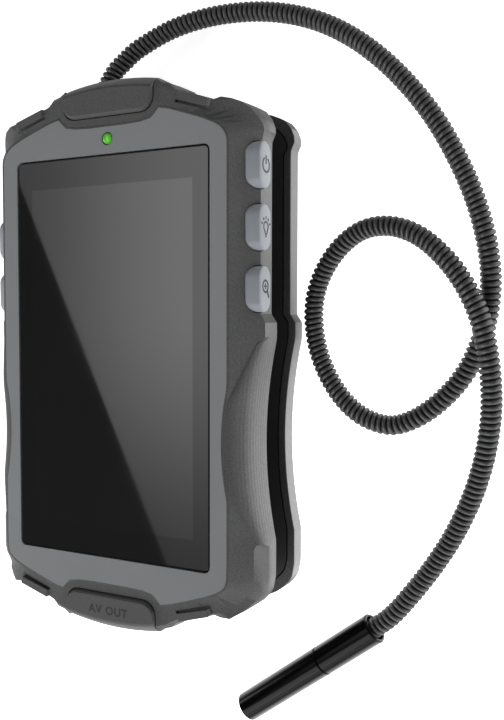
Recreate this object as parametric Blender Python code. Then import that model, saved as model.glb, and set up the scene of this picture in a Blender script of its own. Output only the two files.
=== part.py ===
"""Handheld inspection camera: a display unit with a rubber overmould and a winding groove, a corrugated
gooseneck and a camera head.

The unit lies on its back. X runs across the display, Y along its length towards the end where the
gooseneck leaves, Z up through the glass. Sizes below are in millimetres; mesh data is in metres.
A depth t is measured down from the front of the bezel, so Z = HEIGHT - t.
"""

import math

import bmesh
import bpy
from mathutils import Vector

MM = 0.001
HEIGHT = 30.6  # bezel front above the table
GAP = 0.3  # clearance between neighbouring pieces
CUT = 2.0  # how far a cutter runs past what it cuts

# Depths through the body.
FRONT_HALF_BACK = 13.3  # rear face of the front half, the groove's front wall
REAR_RIM = 2.2  # width of the rubber round the rear flange
REBATE, REBATE_T = 1.0, 27.6  # step where the rubber laps over the rear case, and its depth
GROOVE_BACK = 25.0  # front face of the rear flange, the groove's back wall
RIM_BACK = 29.9  # where the rear bumper's side ends in a chamfer

# Display.
WINDOW_X, WINDOW_Y, WINDOW_R = 63.9, 111.15, 1.5
WINDOW_TOP, WINDOW_BOTTOM = 0.25, 1.55
LCD_X, LCD_Y, LCD_TOP, LCD_BOTTOM = 67.0, 105.4, 2.4, 5.2
BEZEL_THICK = 2.1
LED_Y, LED_R = 59.9, 1.5

# Buttons: a row of three on the right, two on the left.
BUTTON_PITCH = 15.9
BUTTON_Y = (50.4, 50.4 - BUTTON_PITCH, 50.4 - 2 * BUTTON_PITCH)
BUTTON_LENGTH, BUTTON_IN = 11.9, 37.9
BUTTON_SIDE = {1: (44.95, 6.9, 6.4), -1: (44.4, 8.1, 6.2)}  # outer face x, depth of the axis, width
PLUNGER_END = 37.2

# Port covers at both ends.
COVER_HALF = 14.9
COVER_TOP, COVER_UNDER, COVER_BOTTOM = -1.0, 1.2, 12.9
COVER_AXIS_Y, COVER_AXIS_T = 67.1, 0.1
COVER_WALL = 72.0
END_ARC_R = 84.0

# Camera head and gooseneck.
NECK_R = 2.75
HEAD_R = 4.2
HEAD_LIFT = 4.25  # height of its axis above the table
HEAD_REAR = (68.5, -72.4)
HEAD_TIP = (29.8, -102.4)
HEAD_SEAM = 18.9
HEAD_BORE_R, HEAD_BORE = 3.1, 7.0
NECK_INTO_HEAD = 6.2

# The gland leans with the gooseneck where it leaves the groove.
GLAND_MOUTH = (-18.3, 74.2, 19.3)
GLAND_DIR = (0.50, 0.866, 0.02)
GLAND_LENGTH = 13.0

# Batteries, side by side.
CELL_R, CELL_LENGTH, CELL_PITCH, CELL_T = 7.2, 50.5, 14.8, 20.9
CELL_Y0 = -50.0
DOOR_AXIS_Y, DOOR_AXIS_T, DOOR_R = -52.7, 29.7, 0.7

SCREW_AT = ((27.0, -57.5), (-27.0, -57.5), (28.5, 50.0), (-28.5, 50.0))


# ---------------------------------------------------------------- materials
def material(name, colour, roughness, metallic=0.0, transmission=0.0, coat=0.0):
    made = bpy.data.materials.new(name)
    made.use_nodes = True
    shader = made.node_tree.nodes["Principled BSDF"]
    shader.inputs["Base Color"].default_value = (*colour, 1.0)
    shader.inputs["Roughness"].default_value = roughness
    shader.inputs["Metallic"].default_value = metallic
    shader.inputs["Transmission Weight"].default_value = transmission
    shader.inputs["Coat Weight"].default_value = coat
    made.diffuse_color = (*colour, 1.0)
    return made


def clear_scene():
    for thing in list(bpy.data.objects):
        bpy.data.objects.remove(thing, do_unlink=True)


# ---------------------------------------------------------------- mesh helpers
def place(x, y, t):
    return Vector((x, y, HEIGHT - t)) * MM


def make(name, points, faces, mat, origin=None, smooth=None):
    """One object from points in (x, y, t) millimetres. Its origin sits at origin, in the same terms."""
    at = place(*origin) if origin else Vector((0, 0, 0))
    mesh = bpy.data.meshes.new(name)
    mesh.from_pydata([tuple(place(*p) - at) for p in points], [], faces)
    work = bmesh.new()
    work.from_mesh(mesh)
    bmesh.ops.recalc_face_normals(work, faces=work.faces)
    work.to_mesh(mesh)
    work.free()
    if smooth is not None:
        mesh.shade_smooth()
        mesh.set_sharp_from_angle(angle=math.radians(smooth))
    mesh.materials.append(mat)
    thing = bpy.data.objects.new(name, mesh)
    thing.location = at
    bpy.context.scene.collection.objects.link(thing)
    return thing


def stack(name, levels, mat, origin=None, smooth=None):
    """A closed solid through outlines of equal point count, each a list of (x, y, t)."""
    n = len(levels[0])
    points = [p for level in levels for p in level]
    faces = []
    for k in range(len(levels) - 1):
        for i in range(n):
            j = (i + 1) % n
            faces.append((k * n + i, k * n + j, (k + 1) * n + j, (k + 1) * n + i))
    faces.append(tuple(reversed(range(n))))
    faces.append(tuple(range((len(levels) - 1) * n, len(levels) * n)))
    return make(name, points, faces, mat, origin, smooth)


def prism(name, outline, t0, t1, mat, origin=None, smooth=None):
    return stack(name, [[(x, y, t) for x, y in outline] for t in (t0, t1)], mat, origin, smooth)


def ring_loft(name, stations, mat, smooth=None):
    """A closed ring: each station is a closed section, and the last joins the first."""
    n, m = len(stations), len(stations[0])
    points = [p for station in stations for p in station]
    faces = []
    for i in range(n):
        a, b = i * m, ((i + 1) % n) * m
        for k in range(m):
            l = (k + 1) % m
            faces.append((a + k, b + k, b + l, a + l))
    return make(name, points, faces, mat, None, smooth)


def box(name, x0, x1, y0, y1, t0, t1, mat, origin=None):
    return prism(name, [(x0, y0), (x1, y0), (x1, y1), (x0, y1)], t0, t1, mat, origin)


def circle(cx, cy, r, n):
    return [(cx + r * math.cos(2 * math.pi * i / n), cy + r * math.sin(2 * math.pi * i / n)) for i in range(n)]


def rounded(x0, x1, y0, y1, r, n=4):
    out = []
    for cx, cy, a0 in ((x1 - r, y1 - r, 0), (x0 + r, y1 - r, 90), (x0 + r, y0 + r, 180), (x1 - r, y0 + r, 270)):
        for i in range(n + 1):
            a = math.radians(a0 + 90 * i / n)
            out.append((cx + r * math.cos(a), cy + r * math.sin(a)))
    return out


def frame_of(direction):
    u = Vector(direction).normalized()
    side = u.orthogonal().normalized() if abs(u.z) > 0.9 else Vector((-u.y, u.x, 0)).normalized()
    return u, side, u.cross(side)


def turned(name, start, direction, profile, mat, n=32, origin=None, smooth=40.0, hollow=False):
    """A solid of revolution. profile lists (distance along the axis, radius); hollow closes it into a ring."""
    u, side, up = frame_of(direction)
    base = Vector(start)
    rings = []
    for s, r in profile:
        rings.append([
            tuple(base + u * s + (side * math.cos(2 * math.pi * i / n) + up * math.sin(2 * math.pi * i / n)) * r)
            for i in range(n)
        ])
    if hollow:
        stations = [[ring[i] for ring in rings] for i in range(n)]
        return ring_loft(name, stations, mat, smooth)
    return stack(name, rings, mat, origin, smooth)


def cut_with(thing, cutter, operation="DIFFERENCE"):
    cutter.hide_render = True
    cutter.display_type = "WIRE"
    change = thing.modifiers.new(cutter.name, "BOOLEAN")
    change.operation = operation
    change.solver = "EXACT"
    change.object = cutter


def mirrored(half):
    """A closed outline from its right half, listed from the top centre to the bottom centre."""
    left = [(-x, y) for x, y in reversed(half) if abs(x) > 1e-6]
    return list(half) + left


def offset(outline, distance):
    """Moves each side of a clockwise outline outwards by a distance."""
    out = []
    n = len(outline)
    for i in range(n):
        p, q, s = (Vector(outline[(i + d) % n]) for d in (-1, 0, 1))
        a, b = (q - p).normalized(), (s - q).normalized()
        na, nb = Vector((-a.y, a.x)), Vector((-b.y, b.x))
        mid = (na + nb).normalized()
        out.append(tuple(q + mid * (distance / max(0.5, mid.dot(na)))))
    return out


# ---------------------------------------------------------------- outlines of the body
def waist_share(y):
    """0 at the ends of the grip, 1 at the middle of its waist."""
    return max(0.0, 1 - ((y + 21.5) / 26.7) ** 2)


def waist_rim(y):
    return 45.05 - 2.95 * waist_share(y)


def waist_bezel(y):
    inside = (y + 21.5) / 14.75
    return 37.5 if abs(inside) >= 1 else 37.5 - 1.7 * (1 - inside * inside)


# End stations: bezel edge (x, y), front ledge (x, y, t), shoulder (x, y, t), rim (x, y).
END = (
    ((0.0, 63.4), (0.0, 73.5, 0.0), (0.0, 75.6, 1.2), (0.0, 76.2)),
    ((6.0, 63.4), (6.0, 73.3, 0.0), (6.0, 75.4, 1.2), (6.0, 76.0)),
    ((10.9, 63.6), (10.8, 73.0, 0.0), (10.8, 75.0, 1.2), (10.8, 75.5)),
    ((14.05, 64.2), (14.8, 72.6, 0.0), (15.3, 74.3, 1.2), (15.6, 74.8)),
    ((15.6, 65.6), (16.6, 72.1, 0.0), (17.1, 73.2, 1.2), (17.3, 73.6)),
    ((16.6, 66.7), (18.6, 71.5, 0.0), (19.4, 72.6, 1.2), (19.8, 73.0)),
    ((18.6, 66.35), (20.3, 70.4, 0.1), (21.2, 71.0, 1.4), (21.65, 71.3)),
    ((20.3, 65.9), (21.9, 69.7, 0.2), (22.6, 70.6, 1.6), (22.8, 70.9)),
    ((26.4, 63.9), (31.4, 66.6, 0.6), (32.4, 67.3, 2.0), (32.8, 67.6)),
    ((28.0, 63.35), (32.9, 66.5, 1.2), (34.2, 67.8, 2.4), (34.6, 68.1)),
)
TOP_CORNER = (
    ((30.2, 62.55), (34.4, 65.3, 1.8), (37.2, 67.1, 2.6), (37.6, 67.4)),
    ((32.4, 61.6), (36.8, 64.2, 3.0), (39.8, 66.0, 3.8), (40.4, 66.2)),
    ((33.9, 60.9), (38.8, 63.0, 4.0), (41.3, 64.9, 5.0), (41.9, 65.3)),
    ((35.3, 60.0), (40.4, 61.5, 4.8), (42.7, 62.9, 6.4), (43.6, 63.2)),
    ((36.4, 58.9), (41.6, 60.0, 5.4), (43.7, 61.0, 7.6), (44.5, 60.9)),
    ((37.0, 57.9), (42.1, 58.9, 5.5), (43.9, 59.4, 8.0), (44.6, 59.4)),
    ((37.4, 56.8), (42.3, 57.2, 5.7), (43.3, 57.0, 7.8), (43.6, 57.2)),
)
# The same at the bottom, listed upwards in x like the top and read downwards.
LOW_CORNER = (
    ((30.2, 62.6), (34.6, 66.3, 1.6), (36.8, 67.8, 2.4), (37.0, 67.8)),
    ((32.4, 61.7), (36.9, 65.3, 2.4), (38.8, 66.6, 3.6), (39.4, 66.6)),
    ((33.9, 61.0), (38.6, 64.2, 3.4), (40.9, 65.0, 5.0), (41.6, 65.0)),
    ((35.3, 60.2), (40.4, 62.4, 4.3), (42.4, 63.2, 7.0), (43.5, 62.9)),
    ((36.4, 59.3), (42.2, 60.1, 4.6), (43.8, 61.0, 8.0), (44.4, 61.2)),
    ((37.0, 58.3), (42.7, 58.3, 4.7), (44.0, 58.6, 8.0), (45.0, 58.0)),
    ((37.4, 56.6), (42.75, 56.6, 4.7), (44.05, 56.6, 8.2), (45.05, 56.6)),
)


# Where the grip's rounded flank is sampled, in degrees of its quarter ellipse.
BEND = (8, 16, 25, 36, 48, 64)
GRIP_TOP, GRIP_BOTTOM = 4.6, -48.0


def body_stations():
    """The right half of the front half's surface, from the top centre to the bottom centre."""
    out = list(END) + list(TOP_CORNER)
    for y in (55.4, 44.0, 33.0, 22.0, 12.2):
        out.append(((37.5, y), (43.4, y, 7.0), (43.5, y, 8.4), (43.5, y)))
    for y in (9.9, 6.2):
        out.append(((37.5, y), (44.75, y, 7.0), (44.85, y, 7.8), (45.1, y)))
    steps = 22
    for i in range(steps + 1):
        y = GRIP_TOP + (GRIP_BOTTOM - GRIP_TOP) * i / steps
        edge, rim = waist_bezel(y), waist_rim(y)
        away = 5.3 * max(0.0, ((1 - waist_share(y)) ** 0.5 - 0.42) / 0.58) ** 1.15
        front = edge + away + 0.45
        deep = away * 1.07 + 0.15
        out.append((
            (edge, y),
            (front, y, deep),
            (front + (rim - front) * 0.66, y, deep + (FRONT_HALF_BACK - deep) * 0.30),
            (rim, y),
        ))
    for y in (-49.4, -53.0):
        out.append(((37.5, y), (42.75, y, 4.7), (44.05, y, 8.2), (45.05, y)))
    for bezel, ledge, shoulder, rim in reversed(END + LOW_CORNER):
        out.append((
            (bezel[0], -bezel[1]),
            (ledge[0], -ledge[1], ledge[2]),
            (shoulder[0], -shoulder[1], shoulder[2]),
            (rim[0], -rim[1]),
        ))
    return out


STATIONS = body_stations()
BEZEL_HALF = [s[0] for s in STATIONS]
RIM_HALF = [s[3] for s in STATIONS]

# Inner line of the rubber, and the same line for the rear bumper.
LINER_END = [(0.0, 68.5), (14.6, 68.3), (20.0, 67.4), (31.0, 63.8), (35.3, 61.4), (38.0, 59.0), (39.6, 56.2), (40.2, 53.0)]


def liner_at(rim):
    """The point of the liner outline that lies inwards of a rim point."""
    x, y = abs(rim[0]), abs(rim[1])
    if y <= 53.0:
        return (40.2, rim[1])
    lengths = [0.0]
    for p, q in zip(LINER_END, LINER_END[1:]):
        lengths.append(lengths[-1] + math.hypot(q[0] - p[0], q[1] - p[1]))
    rims = [(0.0, 76.2), (15.6, 74.8), (21.65, 71.3), (32.8, 67.6), (37.6, 67.2), (41.9, 65.0), (44.6, 60.0), (43.5, 53.0)]
    best = None
    for k, (p, q) in enumerate(zip(rims, rims[1:])):
        d = (q[0] - p[0], q[1] - p[1])
        s = ((x - p[0]) * d[0] + (y - p[1]) * d[1]) / (d[0] ** 2 + d[1] ** 2)
        s = min(1.0, max(0.0, s))
        away = math.hypot(x - p[0] - s * d[0], y - p[1] - s * d[1])
        if best is None or away < best[0] - 1e-9:
            best = (away, k, s)
    _, k, s = best
    p, q = LINER_END[k], LINER_END[k + 1]
    return (p[0] + (q[0] - p[0]) * s, math.copysign(p[1] + (q[1] - p[1]) * s, rim[1]))


LINER_HALF = [liner_at(r) for r in RIM_HALF]
LINER = []
for spot in mirrored(LINER_HALF):
    if not LINER or math.dist(spot, LINER[-1]) > 0.2:
        LINER.append(spot)

HUB_HALF = [(0.0, 68.0), (14.0, 67.6), (24.0, 65.0), (30.0, 61.5), (33.6, 57.5), (35.0, 52.0), (35.0, 10.0),
            (34.0, 0.0), (33.3, -10.0), (33.1, -21.5), (33.3, -33.0), (34.0, -43.0), (35.0, -50.0), (34.8, -54.0),
            (33.0, -58.5), (29.0, -62.5), (23.0, -65.2), (14.0, -67.6), (0.0, -68.0)]
WALL_HALF = [(0.0, 62.6), (12.6, 62.6), (16.6, 64.8), (20.0, 64.4), (26.0, 62.4), (31.6, 60.0), (34.8, 58.0), (36.5, 56.0),
             (37.1, 54.4), (37.1, 0.0), (36.4, -8.0), (35.4, -15.0), (35.2, -21.5), (35.4, -28.0), (36.4, -35.0),
             (37.1, -43.0), (37.1, -54.4), (36.5, -56.0), (34.8, -58.0), (31.6, -60.0), (26.0, -62.4), (20.0, -64.4),
             (16.6, -64.8), (12.6, -62.6), (0.0, -62.6)]


# ---------------------------------------------------------------- the curve of the gooseneck
# Control points (x, y, height of the centre), from the gland to the camera head.
ROUTE = (
    (-12.5, 83.3, 10.8), (-8.5, 87.1, 10.1), (-3.9, 90.4, 9.3), (6.0, 94.9, 7.4), (17.1, 97.2, 5.6),
    (28.8, 97.4, 4.0), (39.8, 95.6, 3.2), (50.5, 91.8, 2.9), (60.4, 86.0, 2.9), (69.0, 78.9, 2.9),
    (76.4, 71.0, 2.9), (82.7, 62.6, 2.9), (87.8, 53.8, 2.9), (92.0, 44.9, 2.9), (95.2, 35.7, 2.9),
    (97.2, 26.3, 2.9), (97.6, 17.5, 2.9), (96.4, 9.0, 2.9), (93.6, 1.0, 2.9), (89.6, -5.6, 2.9), (84.3, -11.2, 2.9),
    (78.6, -15.2, 2.9), (72.7, -17.3, 2.9), (67.0, -16.6, 2.9), (61.6, -13.9, 2.9), (57.0, -9.4, 2.9),
    (53.4, -3.8, 2.9), (50.9, 2.4, 2.9), (49.7, 8.6, 2.9), (49.6, 14.6, 2.9), (50.8, 20.0, 3.1),
    (53.4, 25.2, 3.5), (57.4, 30.0, 4.2), (62.4, 33.6, 5.0), (67.4, 35.1, 5.9), (72.8, 35.0, 6.7),
    (78.0, 33.4, 7.5), (82.4, 30.8, 8.1), (86.2, 27.5, 8.6), (90.0, 23.2, 9.0), (93.6, 17.6, 9.2),
    (96.4, 11.2, 9.2), (98.2, 4.0, 9.1), (99.2, -4.0, 8.6), (99.2, -12.0, 7.6), (98.1, -20.2, 6.4),
    (96.2, -28.0, 5.2), (93.4, -36.0, 4.1), (89.0, -45.4, 3.2), (83.6, -54.4, 3.0), (78.4, -61.8, 3.5),
    (73.3, -68.2, 4.1),
)


def spline(points, spacing):
    """Points at even spacing along a Catmull-Rom curve through the given ones."""
    padded = [points[0] * 2 - points[1]] + points + [points[-1] * 2 - points[-2]]
    fine = []
    for i in range(1, len(padded) - 2):
        p0, p1, p2, p3 = padded[i - 1:i + 3]
        for k in range(24):
            s = k / 24
            fine.append(0.5 * (2 * p1 + (p2 - p0) * s + (2 * p0 - 5 * p1 + 4 * p2 - p3) * s ** 2
                               + (3 * p1 - p0 - 3 * p2 + p3) * s ** 3))
    fine.append(points[-1])
    run = [0.0]
    for a, b in zip(fine, fine[1:]):
        run.append(run[-1] + (b - a).length)
    count = max(2, round(run[-1] / spacing))
    out, k = [], 0
    for i in range(count + 1):
        want = run[-1] * i / count
        while k < len(run) - 2 and run[k + 1] < want:
            k += 1
        s = (want - run[k]) / (run[k + 1] - run[k])
        out.append(fine[k].lerp(fine[k + 1], min(1.0, max(0.0, s))))
    return out, run[-1]


def head_frame():
    rear = Vector((*HEAD_REAR, HEIGHT - HEAD_LIFT))
    tip = Vector((*HEAD_TIP, HEIGHT - HEAD_LIFT))
    return rear, (tip - rear).normalized(), (tip - rear).length


# ---------------------------------------------------------------- the pieces
def build_front(mat):
    bezel_outline = mirrored(BEZEL_HALF)
    inner = offset(bezel_outline, -0.3)
    bezel = stack("front_bezel", [
        [(x, y, 0.0) for x, y in inner],
        [(x, y, 0.3) for x, y in bezel_outline],
        [(x, y, BEZEL_THICK) for x, y in bezel_outline],
    ], mat["bezel"])
    hole = rounded(-WINDOW_X / 2 - GAP, WINDOW_X / 2 + GAP, -WINDOW_Y / 2 - GAP, WINDOW_Y / 2 + GAP, WINDOW_R + GAP)
    cut_with(bezel, prism("cut_window", hole, -CUT, BEZEL_THICK + CUT, mat["cutter"]))
    cut_with(bezel, prism("cut_led", circle(0, LED_Y, LED_R + GAP, 24), -CUT, BEZEL_THICK + CUT, mat["cutter"]))

    pane = rounded(-WINDOW_X / 2, WINDOW_X / 2, -WINDOW_Y / 2, WINDOW_Y / 2, WINDOW_R)
    prism("display_window", pane, WINDOW_TOP, WINDOW_BOTTOM, mat["window"])
    box("lcd_panel", -LCD_X / 2, LCD_X / 2, -LCD_Y / 2, LCD_Y / 2, LCD_TOP, LCD_BOTTOM, mat["lcd"])
    turned("status_led", (0, LED_Y, BEZEL_THICK), (0, 0, -1),
           [(0, LED_R), (1.9, LED_R), (2.25, 1.3), (2.45, 0.8)], mat["led"], 24)


def flank(ledge, shoulder, rim, grip):
    """Points between the front ledge and the rim, each (x, y, t): rounded in the grip, a bent wall elsewhere."""
    (lx, ly, lt), (sx, sy, st), (rx, ry) = ledge, shoulder, rim
    out = []
    if grip:
        for a in BEND:
            s, c = math.sin(math.radians(a)), 1 - math.cos(math.radians(a))
            out.append((lx + (rx - lx) * s, ly + (ry - ly) * s, lt + (FRONT_HALF_BACK - lt) * c))
        return out
    wx, wy, wt = sx + (rx - sx) * 0.72, sy + (ry - sy) * 0.72, st + (FRONT_HALF_BACK - st) * 0.38
    for f in (0.0, 0.33, 0.67, 1.0):
        out.append((sx + (wx - sx) * f, sy + (wy - sy) * f, st + (wt - st) * f))
    for f in (0.33, 0.67):
        out.append((wx + (rx - wx) * f, wy + (ry - wy) * f, wt + (FRONT_HALF_BACK - wt) * f))
    return out


def build_overmould(mat):
    outline = mirrored(BEZEL_HALF)
    edge = offset(outline, GAP)
    ledge = mirrored([(s[1][0], s[1][1]) for s in STATIONS])
    ledge_t = [s[1][2] for s in STATIONS]
    shoulder = mirrored([(s[2][0], s[2][1]) for s in STATIONS])
    shoulder_t = [s[2][2] for s in STATIONS]
    rim, liner = mirrored(RIM_HALF), mirrored(LINER_HALF)
    half = len(STATIONS)
    stations = []
    for i in range(len(outline)):
        k = i if i < half else 2 * half - 2 - i
        grip = GRIP_BOTTOM - 0.01 < rim[i][1] < GRIP_TOP + 0.01
        share = waist_share(rim[i][1]) if grip else 0.0
        stations.append([
            (*edge[i], 0.0),
            (*ledge[i], ledge_t[k]),
            *flank((*ledge[i], ledge_t[k]), (*shoulder[i], shoulder_t[k]), rim[i], grip),
            (*rim[i], FRONT_HALF_BACK),
            (*liner[i], FRONT_HALF_BACK),
            (*liner[i], 5.8 + 4.2 * share ** 0.5),
            (*edge[i], 2.6),
        ])
    body = ring_loft("front_overmould", stations, mat["rubber"])

    for side in (1, -1):
        for y in BUTTON_Y if side > 0 else BUTTON_Y[1:]:
            hole = button_levels(y, side, ((50.0, GAP), (36.0, GAP)))
            cut_with(body, stack(f"cut_button_{side}_{y:.0f}", hole, mat["cutter"]))
        for end in (1, -1):
            bar = [(22.2, 68.05), (31.6, 65.2), (32.2, 66.9), (22.6, 70.1)]
            groove = [(21.5, 67.35), (31.9, 64.2), (32.3, 64.9), (21.9, 68.05)]
            slot = prism(f"cut_slot_{side}_{end}", [(x * side, y * end) for x, y in groove], -CUT, 0.9, mat["cutter"])
            cut_with(body, slot)
            raised = stack(f"bar_{side}_{end}", [
                [(x * side, y * end, t) for x, y in offset_small(bar, d)] for t, d in ((-0.5, 0.35), (-0.1, 0.0), (2.0, 0.0))
            ], mat["cutter"])
            cut_with(body, raised, "UNION")
    for end in (1, -1):
        pocket = cover_outline(COVER_HALF + GAP, 65.7, 90.0, end, 4.0)
        cut_with(body, prism(f"cut_pocket_{end}", pocket, -CUT, COVER_UNDER + GAP, mat["cutter"]))
        far = [(-COVER_HALF - GAP, 71.7 * end), (COVER_HALF + GAP, 71.7 * end),
               (COVER_HALF + GAP, 90 * end), (-COVER_HALF - GAP, 90 * end)]
        cut_with(body, prism(f"cut_end_{end}", far, COVER_UNDER - 0.2, COVER_BOTTOM + CUT, mat["cutter"]))
    return body


def offset_small(outline, d):
    cx = sum(x for x, _ in outline) / len(outline)
    cy = sum(y for _, y in outline) / len(outline)
    return [(x + (cx - x) * d / max(0.5, abs(cx - x)) * 0.7, y + (cy - y) * d / max(0.5, abs(cy - y)) * 0.7) for x, y in outline]


def button_levels(y, side, levels):
    """Stadium outlines across the button's axis, at each (x, growth)."""
    out = []
    _, depth, width = BUTTON_SIDE[side]
    half = BUTTON_LENGTH / 2 - width / 2
    for x, grow in levels:
        r = width / 2 + grow
        ring = []
        for i in range(24):
            a = 2 * math.pi * i / 24
            shift = half if math.sin(a) >= 0 else -half
            ring.append((side * x, y + shift + r * math.sin(a), depth + r * math.cos(a)))
        out.append(ring)
    return out


def build_buttons(mat):
    names = {(1, 0): "power_button", (1, 1): "light_button", (1, 2): "zoom_button",
             (-1, 1): "rotate_button", (-1, 2): "mirror_button"}
    for (side, k), name in names.items():
        y = BUTTON_Y[k]
        out, depth, _ = BUTTON_SIDE[side]
        cap = stack(name, button_levels(y, side, (
            (out, -0.75), (out - 0.1, -0.38), (out - 0.33, -0.1), (out - 0.7, 0.0), (BUTTON_IN, 0.0),
        )), mat["button"], (side * out, y, depth), 50.0)
        shoulder = box(f"shoulder_{name}", side * 38.0, side * 38.7, y - 6.6, y + 6.6, depth - 0.2, depth + 2.4, mat["cutter"])
        cut_with(cap, shoulder, "UNION")

        stem = name.replace("_button", "")
        switch = box(f"{stem}_switch", side * 32.9, side * 35.2, y - 3.0, y + 3.0, depth - 1.25, depth + 1.75, mat["dark_plastic"])
        plunger = turned(f"plunger_{stem}", (side * 34.6, y, depth), (side, 0, 0), [(0, 1.2), (PLUNGER_END - 34.6, 1.2)], mat["cutter"], 16)
        cut_with(switch, plunger, "UNION")
    for side, name, y0, y1 in ((1, "right_switch_board", 12.6, 56.2), (-1, "left_switch_board", 12.6, 40.4)):
        box(name, side * 31.4, side * 32.6, y0, y1, BUTTON_SIDE[side][1] - 1.2, BUTTON_SIDE[side][1] + 1.8, mat["board"])


def cover_outline(half, inner, outer, end, corner=4.0, arc=True):
    """A port cover's plan: rounded inner corners, and an outer edge on the end's arc."""
    out = []
    for i in range(5):
        a = math.radians(180 + 90 * i / 4)
        out.append((-half + corner + corner * math.cos(a), inner + corner + corner * math.sin(a)))
    for i in range(5):
        a = math.radians(270 + 90 * i / 4)
        out.append((half - corner + corner * math.cos(a), inner + corner + corner * math.sin(a)))
    for i in range(13):
        x = half - 2 * half * i / 12
        out.append((x, outer - (END_ARC_R - math.sqrt(END_ARC_R ** 2 - x * x)) if arc else outer))
    return [(x, y * end) for x, y in out]


def build_covers(mat):
    for end, name in ((-1, "video_port_cover"), (1, "card_port_cover")):
        levels = []
        for t, inner, outer in ((-1.0, 66.75, 73.1), (-0.65, 66.3, 73.8), (0.1, 66.0, 74.5), (0.8, 66.25, 75.0),
                                (1.2, 66.75, 75.3), (3.2, 66.75, 76.4), (COVER_BOTTOM, 66.75, 76.4)):
            levels.append([(x, y, t) for x, y in cover_outline(COVER_HALF, inner, outer, end)])
        flap = stack(name, levels, mat["rubber"], (0, COVER_AXIS_Y * end, COVER_AXIS_T))
        cut_with(flap, box(f"cut_under_{name}", -40, 40, min(50 * end, COVER_WALL * end), max(50 * end, COVER_WALL * end),
                           COVER_UNDER, 40, mat["cutter"]))


def build_front_case(mat):
    wall = mirrored(WALL_HALF)
    plate = offset(LINER, -GAP)
    case = prism("front_case", plate, 11.6, FRONT_HALF_BACK, mat["dark_plastic"])
    cut_with(case, prism("case_wall", wall, 2.4, 12.0, mat["cutter"]), "UNION")
    cut_with(case, prism("cut_case", offset(wall, -1.5), -CUT, 11.6, mat["cutter"]))
    cut_with(case, prism("cut_wire_way", rounded(-12, 12, 20, 44, 3), 10, 20, mat["cutter"]))
    for k, (x, y) in enumerate(SCREW_AT):
        cut_with(case, prism(f"case_boss_{k}", circle(x, y, 3.0, 20), 10.9, 12.5, mat["cutter"]), "UNION")
        cut_with(case, prism(f"cut_case_screw_{k}", circle(x, y, 1.6, 20), 0, 20, mat["cutter"]))
    for side in (1, -1):
        for y in BUTTON_Y if side > 0 else BUTTON_Y[1:]:
            hole = turned(f"cut_plunger_{side}_{y:.0f}", (side * 30, y, BUTTON_SIDE[side][1]), (side, 0, 0), [(0, 1.6), (12, 1.6)], mat["cutter"], 16)
            cut_with(case, hole)

    board = prism("main_board", rounded(-31, 31, -56, 56, 2), 9.0, 10.6, mat["board"])
    for k, (x, y) in enumerate(SCREW_AT):
        cut_with(board, prism(f"cut_board_{k}", circle(x, y, 3.5, 20), 5, 15, mat["cutter"]))

    body = bpy.data.objects["front_overmould"]
    for end, name, hx, t0, t1 in ((-1, "video_socket", 3.1, 3.4, 8.7), (1, "card_socket", 6.6, 6.3, 8.7)):
        y0, y1 = sorted((50.5 * end if end > 0 else 53.2 * end, 71.4 * end))
        y0, y1 = (54.0, 71.4) if end > 0 else (-71.4, -54.0)
        socket = box(name, -hx, hx, y0, y1, t0, t1, mat["steel"] if end > 0 else mat["dark_plastic"])
        window = box(f"cut_socket_{name}", -hx - GAP, hx + GAP, y0 - 4, y1 + 4, t0 - GAP, t1 + GAP, mat["cutter"])
        cut_with(case, window)
        cut_with(body, window)
        if end > 0:
            cut_with(socket, box("cut_card_slot", -5.6, 5.6, 60, 80, 7.0, 8.0, mat["cutter"]))
        else:
            cut_with(socket, turned("cut_jack", (0, -61, 6.05), (0, -1, 0), [(0, 1.8), (20, 1.8)], mat["cutter"], 20))


def rear_liner():
    """Inner line of the rear bumper, a rubber rim of even width round the flange."""
    out = []
    for x, y in mirrored(RIM_HALF):
        out.append((x - math.copysign(REAR_RIM, x) * min(1.0, abs(x) / 36.0), y - math.copysign(REAR_RIM, y) * max(0.0, min(1.0, (abs(y) - 52.0) / 12.0))))
    return out


def thinned(outline, least):
    """The outline without points that lie closer together than that."""
    out = []
    for spot in outline:
        if not out or math.dist(spot, out[-1]) > least:
            out.append(spot)
    return out


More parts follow.
